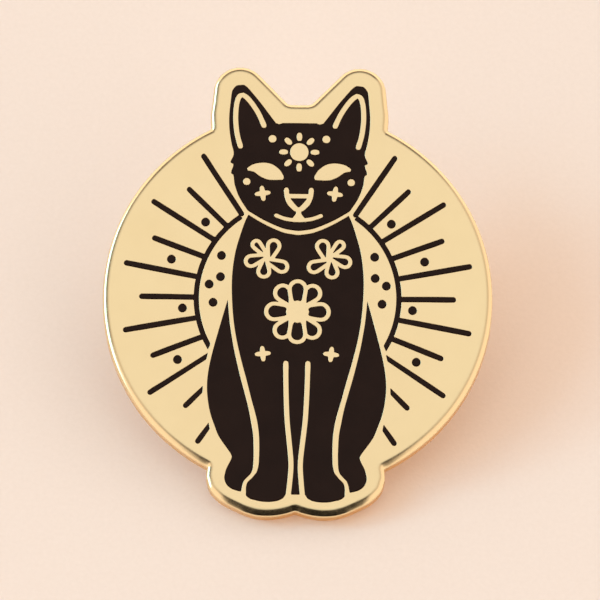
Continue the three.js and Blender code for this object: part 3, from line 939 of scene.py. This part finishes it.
def world_light():
    """A room whose walls differ all round: each draws its own line in the plate's polished edge."""
    world = bpy.data.worlds.new("studio")
    bpy.context.scene.world = world
    world.use_nodes = True
    tree = world.node_tree
    background = tree.nodes["Background"]
    coordinates = tree.nodes.new("ShaderNodeTexCoord")
    direction = tree.nodes.new("ShaderNodeSeparateXYZ")
    tree.links.new(coordinates.outputs["Generated"], direction.inputs["Vector"])

    level = tree.nodes.new("ShaderNodeVectorMath")
    level.operation = "MULTIPLY"
    level.inputs[1].default_value = (1, 1, 0)
    tree.links.new(coordinates.outputs["Generated"], level.inputs[0])
    bearing = tree.nodes.new("ShaderNodeVectorMath")
    bearing.operation = "NORMALIZE"
    tree.links.new(level.outputs["Vector"], bearing.inputs[0])
    around = tree.nodes.new("ShaderNodeSeparateXYZ")
    tree.links.new(bearing.outputs["Vector"], around.inputs["Vector"])

    def by_height(stops):
        """The colour of one wall at each height, with the ceiling above it."""
        ramp = tree.nodes.new("ShaderNodeValToRGB")
        ramp.color_ramp.elements.remove(ramp.color_ramp.elements[1])
        for i, (position, brightness, tint) in enumerate([*stops, CEILING]):
            elements = ramp.color_ramp.elements
            stop = elements[0] if i == 0 else elements.new(position)
            stop.position = position
            stop.color = (*(brightness * part for part in tint), 1)
        tree.links.new(direction.outputs["Z"], ramp.inputs["Fac"])
        return ramp.outputs["Color"]

    def turning(part, start, end, before, after):
        """Changes from one wall to the next as the bearing swings from start to end."""
        turn = tree.nodes.new("ShaderNodeMapRange")
        turn.interpolation_type = "SMOOTHSTEP"
        turn.inputs["From Min"].default_value = start
        turn.inputs["From Max"].default_value = end
        tree.links.new(around.outputs[part], turn.inputs["Value"])
        blend = tree.nodes.new("ShaderNodeMix")
        blend.data_type = "RGBA"
        tree.links.new(turn.outputs["Result"], blend.inputs["Factor"])
        tree.links.new(before, blend.inputs["A"])
        tree.links.new(after, blend.inputs["B"])
        return blend.outputs["Result"]

    walls = turning("Y", -0.2, 0.2, by_height(PLAIN_WALL), by_height(BACK_WALL))
    walls = turning("Y", -0.84, -0.93, walls, by_height(FRONT_WALL))
    walls = turning("X", -0.86, -0.94, walls, by_height(LEFT_WALL))
    walls = turning("X", 0.75, 0.9, walls, by_height(PLAIN_WALL))
    tree.links.new(walls, background.inputs["Color"])
    background.inputs["Strength"].default_value = ROOM_STRENGTH


def area_light(name, size, watts, place, colour):
    """A round soft light, aimed at the pin's face; the room gives the glints instead."""
    data = bpy.data.lights.new(name, "AREA")
    data.shape = "DISK"
    data.size = size
    data.energy = watts
    data.color = colour
    light = bpy.data.objects.new(name, data)
    bpy.context.scene.collection.objects.link(light)
    light.location = place
    light.rotation_euler = (CENTRE - Vector(place)).to_track_quat("-Z", "Y").to_euler()
    light.visible_glossy = False


def fill_light(strength, colour):
    """Light thrown back by the walls and the paper: it casts no shadow and leaves no glint."""
    data = bpy.data.lights.new("fill_overhead", "SUN")
    data.energy = strength
    data.color = colour
    data.use_shadow = False
    light = bpy.data.objects.new("fill_overhead", data)
    bpy.context.scene.collection.objects.link(light)
    light.rotation_euler = (math.radians(20), 0, 0)
    light.visible_glossy = False


world_light()
fill_light(1.1, (1.0, 0.58, 0.36))
area_light("key_left", 0.35, 3.4, (-1.15, 0.1, 0.6), (0.35, 0.78, 1.0))

VIEW_WIDTH = 49.55  # millimetres across the picture, at the pin
CAMERA_DISTANCE = 1.3  # metres
CAMERA_OFF_NORMAL = math.radians(13)  # how far below square to the plate it looks from
CAMERA_ROLL = math.radians(0.67)
SENSOR = 36.0

face_tilt = math.asin(OUT.z)
elevation = face_tilt - CAMERA_OFF_NORMAL
camera_data = bpy.data.cameras.new("photo_camera")
camera_data.sensor_width = SENSOR
camera_data.lens = SENSOR * CAMERA_DISTANCE / (VIEW_WIDTH * MM)
camera_data.clip_start = 0.1
camera_data.clip_end = 10
camera = bpy.data.objects.new("photo_camera", camera_data)
bpy.context.scene.collection.objects.link(camera)
away = Vector((0, -math.cos(elevation), math.sin(elevation)))
camera.location = CENTRE + away * CAMERA_DISTANCE
aim = (-away).to_track_quat("-Z", "Y")
camera.rotation_euler = (aim.to_matrix() @ Matrix.Rotation(CAMERA_ROLL, 3, "Z")).to_euler()
bpy.context.scene.camera = camera
bpy.context.scene.view_settings.view_transform = "Standard"
